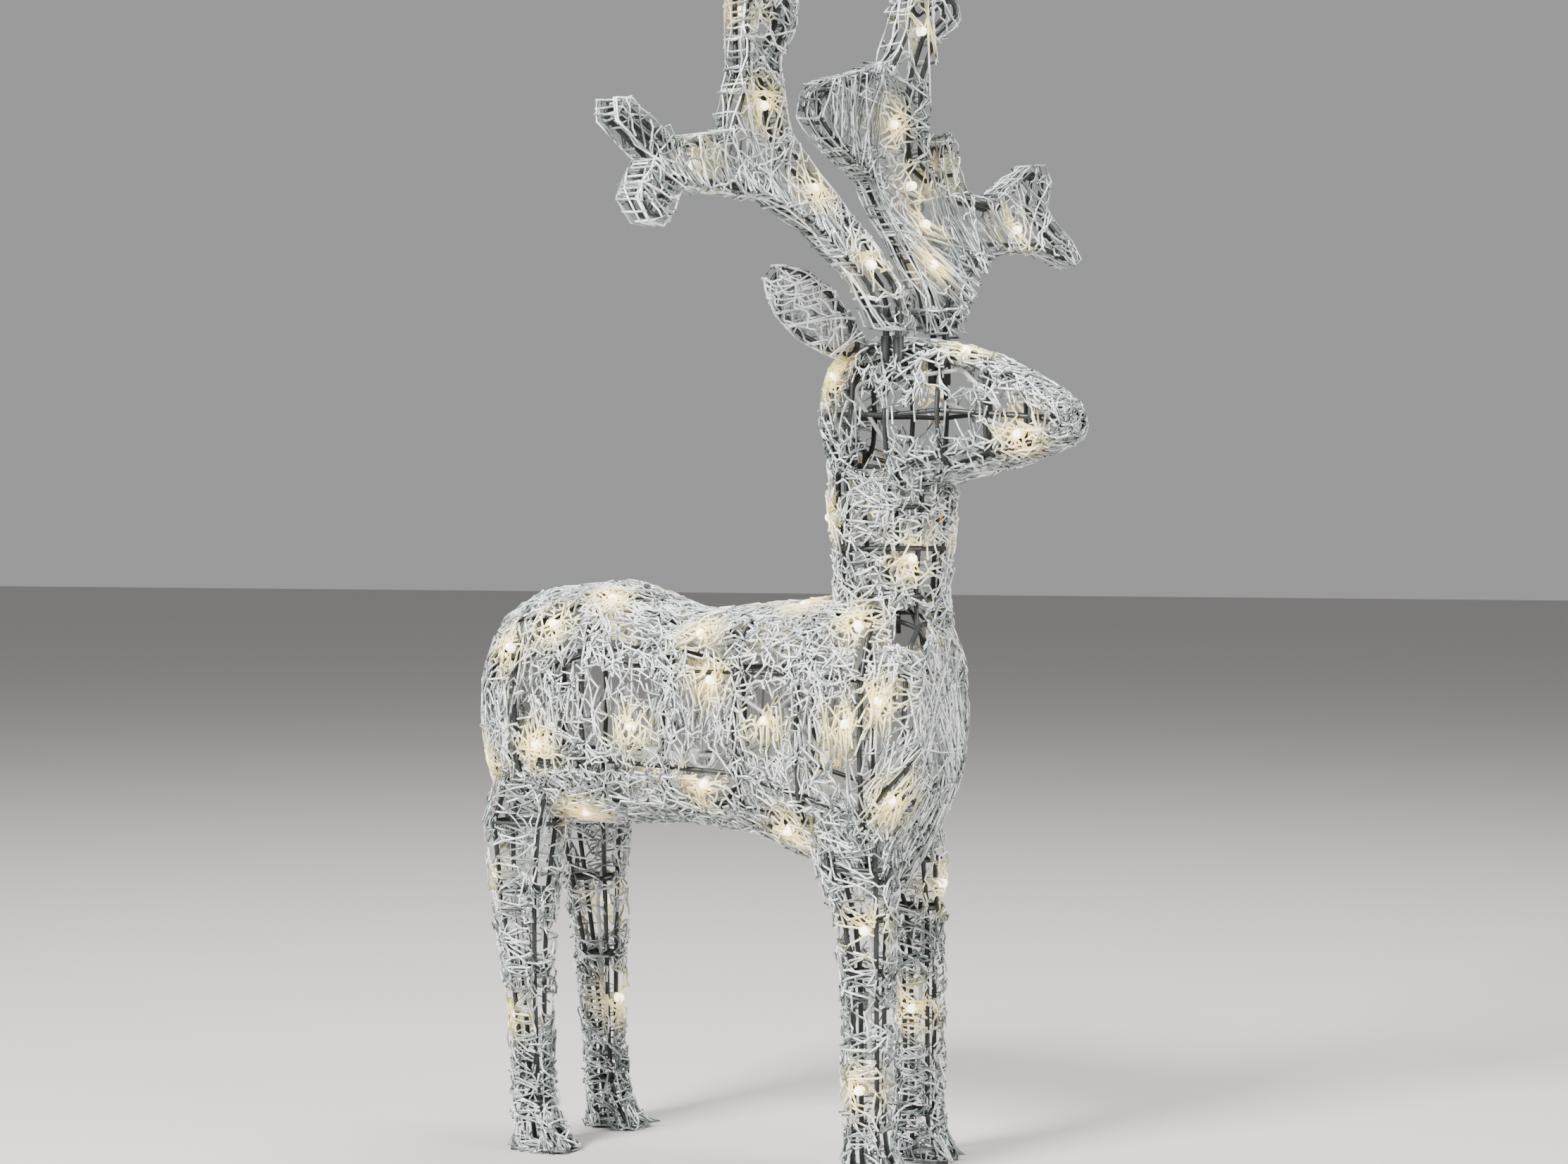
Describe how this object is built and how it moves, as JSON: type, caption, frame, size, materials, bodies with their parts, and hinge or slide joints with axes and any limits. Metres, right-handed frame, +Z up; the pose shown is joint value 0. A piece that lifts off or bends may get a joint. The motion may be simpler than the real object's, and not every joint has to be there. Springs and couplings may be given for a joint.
{
  "type": "light up yard reindeer",
  "caption": "Standing reindeer of welded wire wound with clear acrylic thread, lit by small warm white lamps, with antlers that plug into the head.",
  "frame": {"origin": "on the ground, under the middle of the whole animal", "axes": "+X the way the reindeer faces, +Y to its left, +Z up"},
  "size_m": [0.3255, 0.3661, 0.596],
  "materials": {
    "acrylic_thread": "clear crinkled acrylic thread, gloss",
    "painted_wire": "satin dark grey paint",
    "warm_white_led": "clear lens, lit warm white",
    "clear_holder": "clear moulded plastic",
    "clear_cable": "clear insulation, gloss"
  },
  "bodies": {
    "reindeer": {"antler_sockets": "painted_wire", "body_frame": "painted_wire", "body_led_holders": "clear_holder", "body_led_lamps": "warm_white_led", "body_led_wire": "clear_cable", "body_winding": "acrylic_thread", "front_left_leg_frame": "painted_wire", "front_left_leg_led_holders": "clear_holder", "front_left_leg_led_lamps": "warm_white_led", "front_left_leg_led_wire": "clear_cable", "front_left_leg_winding": "acrylic_thread", "front_right_leg_frame": "painted_wire", "front_right_leg_led_holders": "clear_holder", "front_right_leg_led_lamps": "warm_white_led", "front_right_leg_led_wire": "clear_cable", "front_right_leg_winding": "acrylic_thread", "head_frame": "painted_wire", "head_led_holders": "clear_holder", "head_led_lamps": "warm_white_led", "head_winding": "acrylic_thread", "lead_splice": "clear_cable", "left_ear_frame": "painted_wire", "left_ear_winding": "acrylic_thread", "neck_frame": "painted_wire", "neck_head_led_wire": "clear_cable", "neck_led_holders": "clear_holder", "neck_led_lamps": "warm_white_led", "neck_winding": "acrylic_thread", "rear_left_leg_frame": "painted_wire", "rear_left_leg_led_holders": "clear_holder", "rear_left_leg_led_lamps": "warm_white_led", "rear_left_leg_led_wire": "clear_cable", "rear_left_leg_winding": "acrylic_thread", "rear_right_leg_frame": "painted_wire", "rear_right_leg_led_holders": "clear_holder", "rear_right_leg_led_lamps": "warm_white_led", "rear_right_leg_led_wire": "clear_cable", "rear_right_leg_winding": "acrylic_thread", "right_ear_frame": "painted_wire", "right_ear_winding": "acrylic_thread"},
    "right_antler": {"right_antler_frame": "painted_wire", "right_antler_led_holders": "clear_holder", "right_antler_led_lamps": "warm_white_led", "right_antler_led_wire": "clear_cable", "right_antler_pins": "painted_wire", "right_antler_winding": "acrylic_thread"},
    "left_antler": {"left_antler_frame": "painted_wire", "left_antler_led_holders": "clear_holder", "left_antler_led_lamps": "warm_white_led", "left_antler_led_wire": "clear_cable", "left_antler_pins": "painted_wire", "left_antler_winding": "acrylic_thread"}
  },
  "joints": [
    {"name": "right_antler_lift", "type": "slide", "parent": "reindeer", "child": "right_antler", "axis": [0, 0, 1], "range_m": [0, 0.022]},
    {"name": "left_antler_lift", "type": "slide", "parent": "reindeer", "child": "left_antler", "axis": [0, 0, 1], "range_m": [0, 0.022]}
  ]
}
